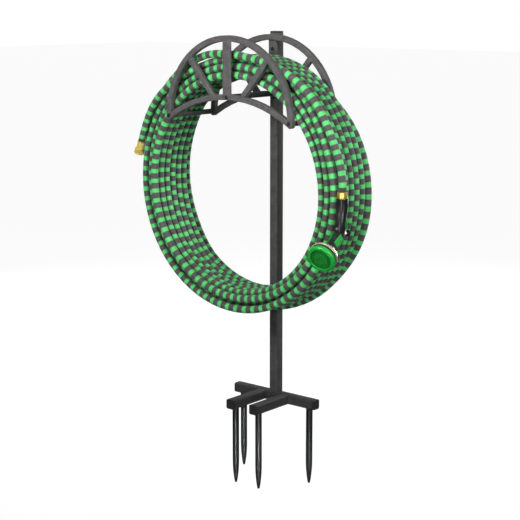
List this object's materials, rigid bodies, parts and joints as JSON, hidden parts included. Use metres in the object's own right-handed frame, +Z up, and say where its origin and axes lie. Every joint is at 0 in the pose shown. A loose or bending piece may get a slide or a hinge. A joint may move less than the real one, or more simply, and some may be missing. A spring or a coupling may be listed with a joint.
{
  "type": "hose stand",
  "caption": "Garden hose stand: square post on ground spikes with a sunburst cradle that carries a striped coiled hose and its spray nozzle",
  "frame": {"origin": "on the underside of the base cross bar, on the post's axis, where the base rests on the ground once the spikes are pushed in", "axes": "+Z up along the post, -Y is the front, towards the front fan and the finger bars, +X is the right as seen from the front, the nozzle's side"},
  "size_m": [0.835, 0.3496, 1.3278],
  "materials": {
    "frame_coat": "dark grey textured powder coat",
    "black_plastic": "black moulded plastic",
    "dark_steel": "black coated fasteners",
    "hose": "woven sleeve, green bands on grey",
    "brass": "bright machined brass",
    "gold_ring": "pale gold anodised",
    "green_plastic": "green moulded plastic",
    "grey_plastic": "light grey moulded plastic",
    "rubber": "black washer rubber"
  },
  "bodies": {
    "stand": {"base_cross_bar": "frame_coat", "base_finger_left": "frame_coat", "base_finger_right": "frame_coat", "cradle_bolt_lower": "dark_steel", "cradle_bolt_nut": "dark_steel", "cradle_bolt_upper": "dark_steel", "cradle_screw_front_centre": "dark_steel", "cradle_screw_front_left": "dark_steel", "cradle_screw_front_right": "dark_steel", "cradle_screw_rear_left": "dark_steel", "cradle_screw_rear_right": "dark_steel", "front_arc": "frame_coat", "front_centre_bar": "frame_coat", "front_hoop": "frame_coat", "front_spoke_left": "frame_coat", "front_spoke_right": "frame_coat", "joiner_screw_lower": "dark_steel", "joiner_screw_upper": "dark_steel", "plug_front_left": "black_plastic", "plug_front_right": "black_plastic", "plug_side_left": "black_plastic", "plug_side_right": "black_plastic", "post_cap": "black_plastic", "post_joiner": "dark_steel", "post_lower": "frame_coat", "post_socket": "frame_coat", "post_upper": "frame_coat", "rear_arc": "frame_coat", "rear_centre_bar": "frame_coat", "rear_hoop": "frame_coat", "rear_spoke_left": "frame_coat", "rear_spoke_right": "frame_coat", "socket_screw": "dark_steel", "spike_back_left": "frame_coat", "spike_back_right": "frame_coat", "spike_front_left": "frame_coat", "spike_front_right": "frame_coat", "strut_centre": "frame_coat", "strut_left": "frame_coat", "strut_right": "frame_coat"},
    "hose": {"hose_coil": "hose", "inlet_ferrule": "brass", "inlet_washer": "rubber", "outlet_coupling": "brass", "outlet_washer": "rubber", "nozzle_body": "black_plastic", "nozzle_inlay_left": "green_plastic", "nozzle_inlay_right": "green_plastic", "head_ring": "gold_ring", "head_gasket": "rubber", "lever_pin": "dark_steel", "lock_button": "grey_plastic"},
    "swivel_nut": {"inlet_nut": "brass"},
    "dial": {"pattern_dial": "green_plastic", "spray_face": "green_plastic"},
    "lever": {"thumb_lever": "green_plastic"}
  },
  "joints": [
    {"name": "hose_lift", "type": "slide", "parent": "stand", "child": "hose", "axis": [0, 0, 1], "range_m": [0, 0.13]},
    {"name": "nut_turn", "type": "hinge", "parent": "hose", "child": "swivel_nut", "pos_m": [-0.37882, -0.18325, 0.74109], "axis": [-0.319, 0, -0.9478], "continuous": true},
    {"name": "dial_turn", "type": "hinge", "parent": "hose", "child": "dial", "pos_m": [0.40214, -0.31333, 0.5235], "axis": [0.1508, -0.901, -0.4067], "continuous": true},
    {"name": "lever_press", "type": "hinge", "parent": "hose", "child": "lever", "pos_m": [0.3787, -0.17327, 0.5745], "axis": [0.9863, 0.165, 0], "range_deg": [0, 10], "stiffness_Nm_per_rad": 0.15, "springref_deg": -17.19}
  ]
}
